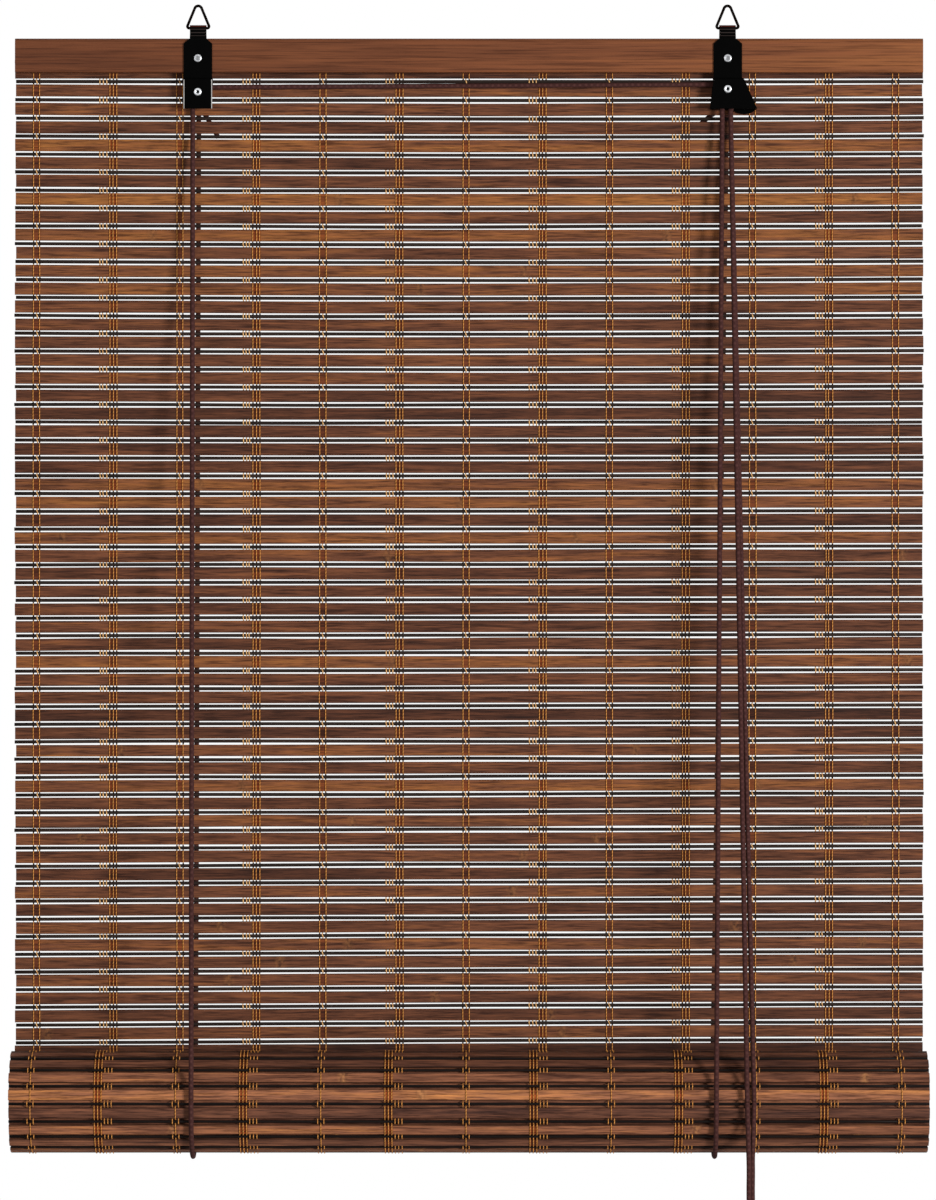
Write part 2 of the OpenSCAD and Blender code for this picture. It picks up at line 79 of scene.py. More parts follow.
def tubesToMesh(name, points, smooth=True, marks=None):
    # points[tube, ring, corner] become closed tubes: quads between rings, one polygon on each end
    tubes, rings, corners = points.shape[:3]
    base = np.arange(tubes)[:, None, None] * rings * corners
    ring = np.arange(rings - 1)[None, :, None] * corners
    here = np.arange(corners)[None, None, :]
    after = (here + 1) % corners
    quads = np.stack([base + ring + here, base + ring + corners + here,
                      base + ring + corners + after, base + ring + after], -1).reshape(-1)
    first = (base[:, 0, 0][:, None] + np.arange(corners)[None, :]).reshape(-1)
    last = (base[:, 0, 0][:, None] + (rings - 1) * corners + np.arange(corners)[::-1][None, :]).reshape(-1)
    loops = np.concatenate([quads, first, last]).astype(np.int32)
    quadCount = tubes * (rings - 1) * corners
    sizes = np.concatenate([np.full(quadCount, 4), np.full(2 * tubes, corners)]).astype(np.int32)
    starts = np.concatenate([[0], np.cumsum(sizes)[:-1]]).astype(np.int32)
    mesh = bpy.data.meshes.new(name)
    mesh.vertices.add(tubes * rings * corners)
    mesh.vertices.foreach_set("co", (points * mm).astype(np.float32).ravel())
    mesh.loops.add(len(loops))
    mesh.loops.foreach_set("vertex_index", loops)
    mesh.polygons.add(len(sizes))
    mesh.polygons.foreach_set("loop_start", starts)
    mesh.polygons.foreach_set("loop_total", sizes)
    flags = np.concatenate([np.full(quadCount, smooth), np.zeros(2 * tubes, bool)])
    mesh.update(calc_edges=True)
    mesh.polygons.foreach_set("use_smooth", flags)
    # UV: u is the way along the tube in metres, v goes once round it
    steps = np.linalg.norm(np.diff(points.mean(2), axis=1), axis=2)
    along = np.concatenate([np.zeros((tubes, 1)), np.cumsum(steps, 1)], 1)
    u = np.broadcast_to(along[:, :, None] * mm, (tubes, rings, corners))
    low, high = u[:, :-1, :], u[:, 1:, :]
    v = np.broadcast_to(np.arange(corners)[None, None, :] / corners, low.shape)
    step = 1 / corners
    quadUv = np.stack([low, v, high, v, high, v + step, low, v + step], -1).reshape(-1)
    uv = np.concatenate([quadUv, np.zeros(4 * tubes * corners)])
    mesh.uv_layers.new(name="UVMap").data.foreach_set("uv", uv.astype(np.float32))
    for key, values in (marks or {}).items():
        layer = mesh.attributes.new(key, "FLOAT", "POINT")
        layer.data.foreach_set("value", np.repeat(values, rings * corners).astype(np.float32))
    mesh.validate()
    return addObject(name, mesh)


def sweep(path, radius, corners, swell=None):
    # round section carried along a path: side vectors are turned from ring to ring with the path
    path = np.asarray(path, float)
    step = np.gradient(path, axis=0)
    step /= np.linalg.norm(step, axis=1)[:, None]
    guide = np.array([0.0, 1.0, 0.0]) if abs(step[:, 1]).max() < 0.9 else np.array([1.0, 0.0, 0.0])
    side = np.cross(step, guide)
    side /= np.linalg.norm(side, axis=1)[:, None]
    other = np.cross(side, step)
    angle = np.arange(corners) * 2 * np.pi / corners
    reach = np.full((len(path), corners), radius) if swell is None else radius * swell(len(path), angle)
    return (path[:, None, :] + reach[:, :, None] * (np.cos(angle)[None, :, None] * side[:, None, :]
                                                     + np.sin(angle)[None, :, None] * other[:, None, :]))


def resample(path, spacing):
    # points at even spacing along a polyline
    path = np.asarray(path, float)
    run = np.concatenate([[0], np.cumsum(np.linalg.norm(np.diff(path, axis=0), axis=1))])
    count = max(3, int(round(run[-1] / spacing)) + 1)
    marks = np.linspace(0, run[-1], count)
    return np.stack([np.interp(marks, run, path[:, i]) for i in range(3)], 1), run[-1]


def addNode(tree, kind, values=None, **settings):
    made = tree.nodes.new(kind)
    for key, value in settings.items():
        setattr(made, key, value)
    for key, value in (values or {}).items():
        made.inputs[key].default_value = value
    return made


def newMaterial(name):
    made = bpy.data.materials.new(name)
    made.use_nodes = True
    tree = made.node_tree
    return made, tree, tree.nodes["Principled BSDF"]


def rampNode(tree, stops):
    # colour ramp from (place, colour) pairs
    made = tree.nodes.new("ShaderNodeValToRGB")
    steps = made.color_ramp.elements
    steps[0].position, steps[0].color = stops[0]
    steps[1].position, steps[1].color = stops[-1]
    for place, colour in stops[1:-1]:
        steps.new(place).color = colour
    return made


def mixColour(tree, kind, factor, first, second):
    made = tree.nodes.new("ShaderNodeMix")
    made.data_type = "RGBA"
    made.blend_type = kind
    for socket, value in ((made.inputs[0], factor), (made.inputs[6], first), (made.inputs[7], second)):
        if hasattr(value, "links"):
            tree.links.new(value, socket)
        else:
            socket.default_value = value
    return made.outputs[2]


def maths(tree, kind, first, second=None, clamp=False):
    made = tree.nodes.new("ShaderNodeMath")
    made.operation = kind
    made.use_clamp = clamp
    for socket, value in zip(made.inputs, (first, second)):
        if value is None:
            continue
        if hasattr(value, "links"):
            tree.links.new(value, socket)
        else:
            socket.default_value = value
    return made.outputs[0]


print("frame loaded,", len(frame["nodes"]), "solids")

# Camera: straight at the mat from its middle, at the photograph's frame
view = {"distance": 4300, "lookX": -0.7, "lookY": 5.4, "lookZ": -391.3, "mmPerPixel": 0.661,
        "photoHeight": 1200, "sensor": 36, "clipEnd": 50}


def makeCamera():
    lens = bpy.data.cameras.new("viewCamera")
    lens.sensor_fit = "VERTICAL"
    lens.sensor_height = view["sensor"]
    lens.lens = view["sensor"] * view["distance"] / (view["photoHeight"] * view["mmPerPixel"])
    lens.clip_end = view["clipEnd"]
    camera = addObject("viewCamera", lens)
    camera.location = (view["lookX"] * mm, (view["lookY"] - view["distance"]) * mm, view["lookZ"] * mm)
    camera.rotation_euler = (np.pi / 2, 0, 0)
    bpy.context.scene.camera = camera


makeCamera()

# Mat and roll sizes in millimetres: those of the solids, and swells that give the gaps their seen width
mat = {"rows": 58, "slatHeight": 7.25, "thick": 1.8, "gap": 1.35, "topGap": 2.55, "length": 600,
       "chamfer": 0.3, "crown": 0.1, "threadSize": 0.64, "slatSwell": 0.65, "stickSwell": 0.5,
       "rollSwell": -0.5}
sag = {"free": 8, "blend": 40, "height": [0, 0.25, 0.5, 0.75, 0.95, 1],
       "left": [0.3, 1.8, 2.25, 1.55, 0.9, 0],
       "middle": [1.1, 2.5, 1.9, 0.8, -0.5, 0],
       "right": [0.2, 1.6, 1.55, 0.05, -1.3, 0]}
columns = {"pitch": 47.3, "offset": -2, "pairHalf": 2, "tripleStep": 2.25, "tripleShift": 3.3}
roll = {"radius": 34, "turnPitch": 3.2, "coreRadius": 14.2, "start": 1.05, "drop": 0.3}

matLow, matHigh = [np.array(corner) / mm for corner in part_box("slat_mat")]
matTop, matBottom = matHigh[2], matLow[2]
matMid = (matLow[1] + matHigh[1]) / 2
rowPitch = mat["slatHeight"] + mat["thick"] + 2 * mat["gap"]
topStick = matTop - mat["thick"] / 2
secondStick = topStick - mat["thick"] - mat["gap"]
firstSlat = secondStick - mat["thick"] / 2 - mat["topGap"] - mat["slatHeight"] / 2
slatToStick = mat["slatHeight"] / 2 + mat["gap"] + mat["thick"] / 2
rollY = matMid - roll["radius"]
rollZ = matBottom - roll["drop"]
columnX = columns["offset"] + columns["pitch"] * np.arange(-6, 7)
wheelBoxes = [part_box(node) for node in ("left_wheel", "right_wheel")]
axleX = [float(low.x + high.x) / 2 / mm for low, high in wheelBoxes]
axleZ = [float(low.z + high.z) / 2 / mm for low, high in wheelBoxes]


def shorten(piece):
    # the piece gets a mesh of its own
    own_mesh(piece)


def hang(points):
    # the rows sag: drop by height down the mat, then a parabola through the left, middle and right drops
    down = (matTop - points[..., 2]) / (matTop - matBottom)
    left, middle, right = [np.interp(down, sag["height"], sag[side]) for side in ("left", "middle", "right")]
    across = points[..., 0] / (mat["length"] / 2)
    drop = middle + (right - left) / 2 * across + ((right + left) / 2 - middle) * across ** 2
    moved = points.copy()
    moved[..., 2] -= drop * ease((matTop - sag["free"] - points[..., 2]) / sag["blend"])
    return moved


# Cords: a twisted cord is a round section whose radius swells in three strands
cordLook = {"size": 2.8, "soft": 0.4, "strands": 3, "swell": 0.03, "turn": 0.55, "spacing": 2.0,
            "corners": 14}
cordPieces = []


def cordTube(name, path, body, node):
    line, length = resample(path, cordLook["spacing"])
    twist = np.arange(len(line)) * cordLook["turn"]
    swell = lambda count, angle: 1 + cordLook["swell"] * np.cos(
        cordLook["strands"] * (angle[None, :] - twist[:, None] / cordLook["strands"]))
    radius = (cordLook["size"] + cordLook["soft"]) / 2
    piece = tubesToMesh(name, sweep(line, radius, cordLook["corners"], swell)[None])
    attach(piece, body)
    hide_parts(node)
    cordPieces.append(piece)
    return piece, line, length


routes = {"slingX": [-180.8, 160.8], "pullX": [185.4, 180.8], "pullClose": [1.2, -1.2], "pullStep": 1.6,
          "pullKnotZ": -806, "pullKnotReach": 4, "slingStart": 1, "slingEnd": 184, "slingPoints": 40,
          "postDepth": 9.5, "postStraight": 8, "knotZ": -61.45, "runRadius": 3.6, "turnPoints": 12,
          "straightRun": 13, "pullStraight": 9, "pullLean": 14, "pullNear": 2.0, "pullOver": 2,
          "pullUnder": 1.7, "clear": 0.3, "joinOver": 0.3, "grooveStep": 3.4}
slingRadius = roll["radius"] + mat["thick"] / 2 + cordLook["size"] / 2 + routes["clear"]
pullY = [rollY - slingRadius, rollY - slingRadius - routes["pullStep"]]
pullMiddle = sum(routes["pullX"]) / 2
backCordY = matMid + mat["thick"] / 2 + cordLook["size"] / 2 + routes["clear"]
grooveY = [float((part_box("left_wheel")[0].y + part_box("left_wheel")[1].y) / 2 / mm)]
grooveY.append(grooveY[0] - routes["grooveStep"])
slingTop = [rollY + slingRadius * np.cos(np.radians(routes["slingEnd"])),
            rollZ - slingRadius * np.sin(np.radians(routes["slingEnd"]))]


def wheelTurn(side, y, start, end):
    # points round a wheel, by angle from the right over the top
    angle = np.radians(np.linspace(start, end, routes["turnPoints"]))
    run = routes["runRadius"]
    return [[axleX[side] + run * np.cos(a), y, axleZ[side] + run * np.sin(a)] for a in angle]


def makeCords():
    # below a wheel the cords stay straight for a while, so that they clear it when the roll is up
    run, straight = routes["runRadius"], routes["straightRun"]
    for side, name in enumerate(("left", "right")):
        x, z, sling = axleX[side], axleZ[side], routes["slingX"][side]
        groove = grooveY[side]
        back = [[x, routes["postDepth"], routes["knotZ"]],
                [x, routes["postDepth"], routes["knotZ"] - routes["postStraight"]],
                [sling, backCordY, rollZ + routes["joinOver"]]]
        front = [[x - run, groove, z], [x - run, groove, z - straight],
                 [sling, slingTop[0], slingTop[1] + routes["joinOver"]]]
        ends = routes["slingStart"], routes["slingEnd"]
        arc = np.radians(np.linspace(*ends, routes["slingPoints"]))
        loop = np.stack([np.full(len(arc), sling), rollY + slingRadius * np.cos(arc),
                         rollZ - slingRadius * np.sin(arc)], 1)
        for part, path, body in (("back", back, "head"), ("front", front, "head"), ("sling", loop, "slings")):
            piece, line, length = cordTube(f"{name}{part.title()}Cord", path, body, f"{name}_{part}_cord")
            if part != "sling":
                shorten(piece)
        pull = routes["pullX"][side]
        upper = [[axleX[1] + run, groove, axleZ[1]],
                 [axleX[1] + run, groove, axleZ[1] - routes["pullStraight"]],
                 [axleX[1] + routes["pullNear"], groove, axleZ[1] - routes["pullLean"]],
                 [pull, pullY[side], rollZ + routes["pullOver"]]]
        piece, line, length = cordTube(f"{name}PullCord", upper, "head", f"{name}_pull_cord")
        shorten(piece)
        close = pullMiddle + routes["pullClose"][side]
        lower = [[pull, pullY[side], rollZ + routes["pullUnder"]],
                 [close, pullY[side], rollZ - slingRadius],
                 [close, pullY[side], routes["pullKnotZ"] + routes["pullKnotReach"]]]
        cordTube(f"{name}PullEnd", lower, "slings", f"{name}_pull_end")
    crossing = wheelTurn(0, grooveY[0], 180, 90) + wheelTurn(1, grooveY[0], 90, 0)
    cordTube("crossingCord", crossing, "head", "crossing_cord")
    cordTube("rightTurnCord", wheelTurn(1, grooveY[1], 180, 0), "head", "right_turn_cord")


makeCords()

# Knots: the loop round the rivet's post with its wraps and tail, and the knot that joins the pull ends
knots = {"loopRadius": 2.65, "loopStart": -80, "loopEnd": 260, "loopPoints": 30, "wrapTop": 2.2,
         "wrapRadius": 2.0, "wrapRise": 2.3, "wraps": 2.2, "wrapShare": 0.8, "wrapPoints": 24,
         "leftTail": [[0, -3], [5, -10], [9, -17], [13, -24]],
         "rightTail": [[0, -3], [-6, -6.5], [-11, -9.5], [-18.8, -16]], "tailBack": 0.4, "tailShare": 1.1,
         "coreTop": 2.4, "coreEnd": 6, "spacing": 0.8, "corners": 12}
pullKnot = {"top": 3.4, "radius": 2.6, "rise": 2.4, "wraps": 2.6, "coreHalf": 4.2, "coreRadius": 2.4}


def wrapPath(x, y, z, radius, rise, wraps):
    # helix about a vertical line, from the top down
    angle = np.linspace(0, 2 * np.pi * wraps, int(knots["wrapPoints"] * wraps))
    drop = rise * angle / (2 * np.pi)
    return np.stack([x + radius * np.cos(angle), y + radius * np.sin(angle), z - drop], 1)


def joinPieces(name, pieces):
    # one object from several meshes
    made = bmesh.new()
    for piece in pieces:
        made.from_mesh(piece.data)
    mesh = bpy.data.meshes.new(name)
    made.to_mesh(mesh)
    made.free()
    for piece in pieces:
        old = piece.data
        bpy.data.objects.remove(piece)
        bpy.data.meshes.remove(old)
    return addObject(name, mesh)


def strand(name, path, radius):
    line, _ = resample(path, knots["spacing"])
    return tubesToMesh(name, sweep(line, radius, knots["corners"])[None])


def makeKnots():
    half = cordLook["size"] / 2
    for side, name in enumerate(("left", "right")):
        x, y = axleX[side], routes["postDepth"]
        angle = np.radians(np.linspace(knots["loopStart"], knots["loopEnd"], knots["loopPoints"]))
        loop = np.stack([x + knots["loopRadius"] * np.cos(angle), np.full(len(angle), y),
                         axleZ[side] + knots["loopRadius"] * np.sin(angle)], 1)
        top = routes["knotZ"] + knots["wrapTop"]
        wraps = wrapPath(x, y, top, knots["wrapRadius"], knots["wrapRise"], knots["wraps"])
        tail = [[x + dx, y + knots["tailBack"], routes["knotZ"] + dz] for dx, dz in knots[name + "Tail"]]
        core = [[x, y, axleZ[side] - knots["coreTop"]], [x, y, routes["knotZ"] - knots["coreEnd"]]]
        parts = [strand("loop", loop, half), strand("wraps", wraps, half * knots["wrapShare"]),
                 strand("tail", tail, half * knots["tailShare"]), strand("core", core, half)]
        piece = joinPieces(f"{name}CordKnot", parts)
        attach(piece, "head")
        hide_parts(f"{name}_cord_knot")
        cordPieces.append(piece)
    depth, z = sum(pullY) / 2, routes["pullKnotZ"]
    wraps = wrapPath(pullMiddle, depth, z + pullKnot["top"], pullKnot["radius"], pullKnot["rise"],
                     pullKnot["wraps"])
    core = [[pullMiddle, depth, z + pullKnot["coreHalf"]], [pullMiddle, depth, z - pullKnot["coreHalf"]]]
    parts = [strand("wraps", wraps, half), strand("core", core, pullKnot["coreRadius"])]
    piece = joinPieces("pullCordKnot", parts)
    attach(piece, "slings")
    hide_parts("pull_cord_knot")
    cordPieces.append(piece)


makeKnots()
print("cords and knots made,", len(cordPieces))


# Slats: a flat section with a low crown and eased edges, bowed a little along its length
slats = {"stations": 36, "trim": (-0.7, 0.3), "bow": 0.16, "uneven": 0.012, "facePoints": 4}
sticks = {"stations": 30, "corners": 10, "trim": (-0.8, 0.6), "bow": 0.16, "uneven": 0.04}
rollSlat = {"stations": 20, "trim": (-0.15, 0.15), "bow": 0.10}
rollStick = {"stations": 14, "trim": (-0.6, 0.1)}
wave = {"turn": (0, 6.28), "beat": (1.0, 2.6)}
rowLook = {"tone": (2.2, 2.4), "seed": (0, 40), "jointX": (-0.30, 0.05)}


def slatSection(height, thick, chamfer, crown):
    # depth and height round a slat: front face, top edge, back face and bottom edge
    z, y = height / 2, thick / 2
    face = np.linspace(-(z - chamfer), z - chamfer, slats["facePoints"])
    rise = crown * (1 - (face / z) ** 2)
    front = np.stack([-y - rise, face], 1)
    back = np.stack([y + rise, face], 1)[::-1]
    topEdge = [[chamfer - y, z], [y - chamfer, z]]
    bottomEdge = [[y - chamfer, -z], [chamfer - y, -z]]
    return np.concatenate([front, topEdge, back, bottomEdge])


def stations(length, count, trim):
    # places along a slat; each slat's two ends are cut a little differently
    even = np.linspace(-length / 2, length / 2, count)
    places = np.broadcast_to(even, (len(trim), count)).copy()
    places[:, 0] -= trim[:, 0]
    places[:, -1] += trim[:, 1]
    return places


def waves(amount, places, size):
    # each row has its own slow wave along its length
    turn = chance.uniform(*wave["turn"], (amount, 1))
    beat = chance.uniform(*wave["beat"], (amount, 1))
    strength = chance.normal(0, size, (amount, 1))
    return strength * np.sin(beat * np.pi * places / (mat["length"] / 2) + turn)


def rowMarks(amount, onRoll=0.0):
    # numbers that a row's material reads: its tone, its place in the grain, its cane joints and whether it
    # lies on the roll
    return {"tone": chance.beta(*rowLook["tone"], amount), "seed": chance.uniform(*rowLook["seed"], amount),
            "jointX": chance.uniform(*rowLook["jointX"], amount), "onRoll": np.full(amount, onRoll)}


def makeHangingSlats():
    amount = mat["rows"]
    places = stations(mat["length"], slats["stations"], chance.uniform(*slats["trim"], (amount, 2)))
    section = slatSection(mat["slatHeight"] + mat["slatSwell"], mat["thick"], mat["chamfer"], mat["crown"])
    middle = firstSlat - rowPitch * np.arange(amount)[:, None] + waves(amount, places, slats["bow"])
    wide = 1 + chance.normal(0, slats["uneven"], (amount, 1)) + waves(amount, places, slats["uneven"])
    points = np.empty((*places.shape, len(section), 3))
    points[..., 0] = places[:, :, None]
    points[..., 1] = matMid + section[:, 0][None, None, :]
    points[..., 2] = middle[:, :, None] + wide[:, :, None] * section[:, 1][None, None, :]
    piece = tubesToMesh("hangingSlats", hang(points), smooth=False, marks=rowMarks(amount))
    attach(piece, "head")
    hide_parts("slat_mat")
    return piece


def makeHangingSticks():
    below = firstSlat - slatToStick - rowPitch * np.arange(mat["rows"])
    heights = np.concatenate([[topStick, secondStick], below])
    amount = len(heights)
    places = stations(mat["length"], sticks["stations"], chance.uniform(*sticks["trim"], (amount, 2)))
    angle = np.arange(sticks["corners"]) * 2 * np.pi / sticks["corners"]
    thick = (mat["thick"] + mat["stickSwell"]) / 2 * (1 + waves(amount, places, sticks["uneven"]))
    middle = heights[:, None] + waves(amount, places, sticks["bow"])
    points = np.empty((*places.shape, sticks["corners"], 3))
    points[..., 0] = places[:, :, None]
    points[..., 1] = matMid - thick[:, :, None] * np.cos(angle)
    points[..., 2] = middle[:, :, None] + thick[:, :, None] * np.sin(angle)
    piece = tubesToMesh("hangingSticks", hang(points), marks=rowMarks(amount))
    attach(piece, "head")
    return piece


hangingSlats = makeHangingSlats()
hangingSticks = makeHangingSticks()
print("hanging mat made")


# Roll: the mat's line is a spiral that loses one turn pitch a turn
def turned(s):
    # angle at length s along the mat, from the area that the turns take up
    span = roll["radius"] ** 2 - roll["turnPitch"] * s / np.pi
    return (roll["radius"] - np.sqrt(span)) * 2 * np.pi / roll["turnPitch"]


def spiral(s):
    # place in depth and height at length s along the mat
    angle = turned(s)
    reach = roll["radius"] - roll["turnPitch"] * angle / (2 * np.pi)
    return np.stack([rollY + reach * np.cos(angle), rollZ - reach * np.sin(angle)], -1)


rollLength = np.pi * (roll["radius"] ** 2 - roll["coreRadius"] ** 2) / roll["turnPitch"]
rollRows = int((rollLength - mat["gap"]) / rowPitch)


def makeRollSlats():
    amount = rollRows + 1
    begin = roll["start"] + rowPitch * np.arange(amount)
    first, last = spiral(begin), spiral(begin + mat["slatHeight"])
    middle = (first + last) / 2
    flat = (last - first) / np.linalg.norm(last - first, axis=1)[:, None]
    out = np.stack([-flat[:, 1], flat[:, 0]], 1)
    section = slatSection(mat["slatHeight"] + mat["rollSwell"], mat["thick"], mat["chamfer"], mat["crown"])
    places = stations(mat["length"], rollSlat["stations"], chance.uniform(*rollSlat["trim"], (amount, 2)))
    lean = waves(amount, places, rollSlat["bow"])
    points = np.empty((*places.shape, len(section), 3))
    points[..., 0] = places[:, :, None]
    yz = (middle[:, None, None, :] + section[None, None, :, 0, None] * out[:, None, None, :]
          + (section[None, None, :, 1] + lean[:, :, None])[..., None] * flat[:, None, None, :])
    points[..., 1:] = yz
    piece = tubesToMesh("rollSlats", points, smooth=False, marks=rowMarks(amount, 1.0))
    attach(piece, "roll")
    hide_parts("rolled_mat")
    return piece


def makeRollSticks():
    amount = rollRows
    begin = roll["start"] + rowPitch * np.arange(amount) + mat["slatHeight"] + mat["gap"] + mat["thick"] / 2
    middle = spiral(begin)
    places = stations(mat["length"], rollStick["stations"], chance.uniform(*rollStick["trim"], (amount, 2)))
    angle = np.arange(sticks["corners"]) * 2 * np.pi / sticks["corners"]
    thick = mat["thick"] / 2
    points = np.empty((*places.shape, sticks["corners"], 3))
    points[..., 0] = places[:, :, None]
    points[..., 1] = middle[:, 0, None, None] - thick * np.cos(angle)
    points[..., 2] = middle[:, 1, None, None] + thick * np.sin(angle)
    piece = tubesToMesh("rollSticks", points, marks=rowMarks(amount, 1.0))
    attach(piece, "roll")
    return piece


rollSlats = makeRollSlats()
rollSticks = makeRollSticks()
print("roll made,", rollRows, "rows")

# Warp threads: front threads pass in front of slats and behind sticks, back threads the other way
threads = {"corners": 5, "slant": 0.2, "cross": 0.7, "rollTurns": 0.97, "rollMiddle": 33, "backSize": 0.84,
           "turnStart": 3.5, "turnLength": 1.6, "turnEnd": 5.1, "drift": 0.02, "bedding": 0.8,
           "leanShare": -0.5, "rollBedding": 0.08, "rollFirst": 0.02, "throughSwell": 1.1,
           "throughDepth": 0.95}
threadHalf = mat["threadSize"] / 2
rowPlaces = np.array([-5.1, -4.35, -3.6, 0, 3.6, 4.35, threads["turnEnd"], rowPitch / 2])


def columnThreads(frontSet):
    # x of each thread, and how far it slants where it crosses a stick
    found = []
    for i, x in enumerate(columnX):
        if i % 2 == 0:
            if frontSet:
                found += [(x + k * columns["pairHalf"], 0.0) for k in (-1, 1)]
            else:
                found.append((x, threads["cross"]))
        else:
            shift = columns["tripleShift"] if frontSet else -columns["tripleShift"]
            slant = 0.0 if frontSet else threads["slant"]
            found += [(x + shift + k * columns["tripleStep"], slant) for k in (-1, 0, 1)]
    return np.array(found)


def weave(place):
    # 0 on a slat's face and 1 on the far side at a stick
    return ease((np.abs(place) - threads["turnStart"]) / threads["turnLength"])


def makeHangingThreads(frontSet):
    found = columnThreads(frontSet)
    rows = np.arange(mat["rows"])
    down = (rows[:, None] * rowPitch + rowPlaces[None, :]).reshape(-1)
    cross = np.broadcast_to(weave(rowPlaces), (mat["rows"], len(rowPlaces))).reshape(-1)
    slope = np.clip(rowPlaces / threads["turnEnd"], -1, 1) * weave(rowPlaces)
    lean = np.broadcast_to(slope, (mat["rows"], len(rowPlaces))).reshape(-1).copy()
    lean[len(rowPlaces) - 1::len(rowPlaces)] = 0
    half = threadHalf if frontSet else threads["backSize"] / 2
    onSlat = mat["thick"] / 2 + mat["crown"] + half
    onStick = (mat["thick"] + mat["stickSwell"]) / 2 + half * threads["bedding"]
    near = matMid - (onSlat if frontSet else onStick)
    far = matMid + onSlat
    y = near + (far - near) * (cross if frontSet else 1 - cross)
    drift = np.cumsum(chance.normal(0, threads["drift"], (len(found), len(down))), 1)
    drift -= np.linspace(0, 1, len(down))[None, :] * drift[:, -1:]
    paths = np.empty((len(found), len(down), 3))
    slant = found[:, 1][:, None] * lean[None, :] * threads["leanShare"]
    paths[..., 0] = found[:, 0][:, None] + slant + drift
    paths[..., 1] = y[None, :]
    paths[..., 2] = (firstSlat - down)[None, :]
    # front threads spread a little where they pass behind a stick
    spread = 1 + (threads["throughSwell"] if frontSet else 0.0) * cross
    swell = lambda count, angle: np.repeat(spread[:, None], len(angle), 1)
    tubes = np.stack([sweep(path, half, threads["corners"], swell) for path in paths])
    name = "hangingFrontThreads" if frontSet else "hangingBackThreads"
    piece = tubesToMesh(name, hang(tubes))
    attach(piece, "head")
    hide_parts("front_warp_threads" if frontSet else "back_warp_threads")
    return piece


def makeRollThreads():
    tubes = []
    rows = int(threads["rollTurns"] * 2 * np.pi * threads["rollMiddle"] / rowPitch)
    middle = roll["start"] + mat["slatHeight"] / 2 + np.arange(rows)[:, None] * rowPitch
    down = np.maximum((middle + rowPlaces[None, :]).reshape(-1), threads["rollFirst"])
    cross = np.broadcast_to(weave(rowPlaces), (rows, len(rowPlaces))).reshape(-1)
    reach = mat["thick"] / 2 + mat["crown"] + threadHalf
    for frontSet in (False, True):
        off = reach * (1 - 2 * cross) * (-1 if frontSet else 1)
        angle = turned(down)
        out = off - threads["rollBedding"] * (1 - cross)
        line = spiral(down) + out[:, None] * np.stack([np.cos(angle), -np.sin(angle)], 1)
        for x in columnThreads(frontSet)[:, 0]:
            path = np.concatenate([np.full((len(line), 1), x), line], 1)
            tubes.append(sweepAcross(path))
    piece = tubesToMesh("rollThreads", np.stack(tubes))
    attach(piece, "roll")
    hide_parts("roll_warp_threads")
    return piece


def sweepAcross(path):
    # round section along a path that never runs along X
    step = np.gradient(path, axis=0)
    step /= np.linalg.norm(step, axis=1)[:, None]
    side = np.broadcast_to(np.array([1.0, 0.0, 0.0]), path.shape)
    other = np.cross(side, step)
    other /= np.linalg.norm(other, axis=1)[:, None]
    angle = np.arange(threads["corners"]) * 2 * np.pi / threads["corners"]
    return path[:, None, :] + threadHalf * (np.cos(angle)[None, :, None] * side[:, None, :]
                                            + np.sin(angle)[None, :, None] * other[:, None, :])


frontThreads = makeHangingThreads(True)
backThreads = makeHangingThreads(False)
rollThreads = makeRollThreads()
for piece in (hangingSlats, hangingSticks, frontThreads, backThreads):
    shorten(piece)
print("threads woven")


# Straps and lock plate: copies of the solids with their sheet edges rounded over
sheetEdges = {"left_strap": 0.32, "right_strap": 0.32, "lock_back_plate": 0.25}
sheetCopy = {"merge": 1e-6, "flat": 0.01, "segments": 2, "cornerAngle": 50}


def easedCopy(node, width):
    made = bmesh.new()
    made.from_mesh(frame["nodes"][node].data)
    bmesh.ops.remove_doubles(made, verts=made.verts, dist=sheetCopy["merge"])
    bmesh.ops.dissolve_limit(made, angle_limit=sheetCopy["flat"], verts=made.verts, edges=made.edges)
    mesh = bpy.data.meshes.new(node + "Sheet")
    made.to_mesh(mesh)
    made.free()
    piece = addObject(node.replace("_", "") + "Sheet", mesh)
    bevel = piece.modifiers.new("edge", "BEVEL")
    bevel.width = width * mm
    bevel.segments = sheetCopy["segments"]
    bevel.limit_method = "ANGLE"
    bevel.angle_limit = np.radians(sheetCopy["cornerAngle"])
    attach(piece, "head")
    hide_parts(node)
    return piece


strapPieces = [easedCopy(node, width) for node, width in sheetEdges.items()]


# Rivets: rings of depth from the sheet's face, radius and shade, from the tail to the middle of the head
rivets = {"corners": 36, "headHeight": 1.2,
          "tail": [[0, 1.9, 0], [-0.2, 2.25, 0], [-0.7, 2.25, 0], [-0.7, 1.2, 0]],
          "dished": [[0, 1.2, 0.2], [0, 2.6, 0.2], [-0.25, 2.75, 0.2], [-0.75, 2.5, 0.15],
                     [-1.05, 2.05, 0.15], [-1.1, 1.75, 0.4], [-1.0, 1.4, 0.75], [-0.95, 0.9, 0.75],
                     [-0.93, 0.3, 0.8]],
          "hollow": [[0, 1.2, 0], [0, 2.6, 0], [-0.3, 2.75, 0], [-0.85, 2.45, 0], [-1.15, 1.95, 0],
                     [-1.2, 1.6, 0], [-1.1, 1.25, 0.1], [-0.8, 0.95, 0.5], [0.2, 0.78, 1], [6, 0.78, 1]]}


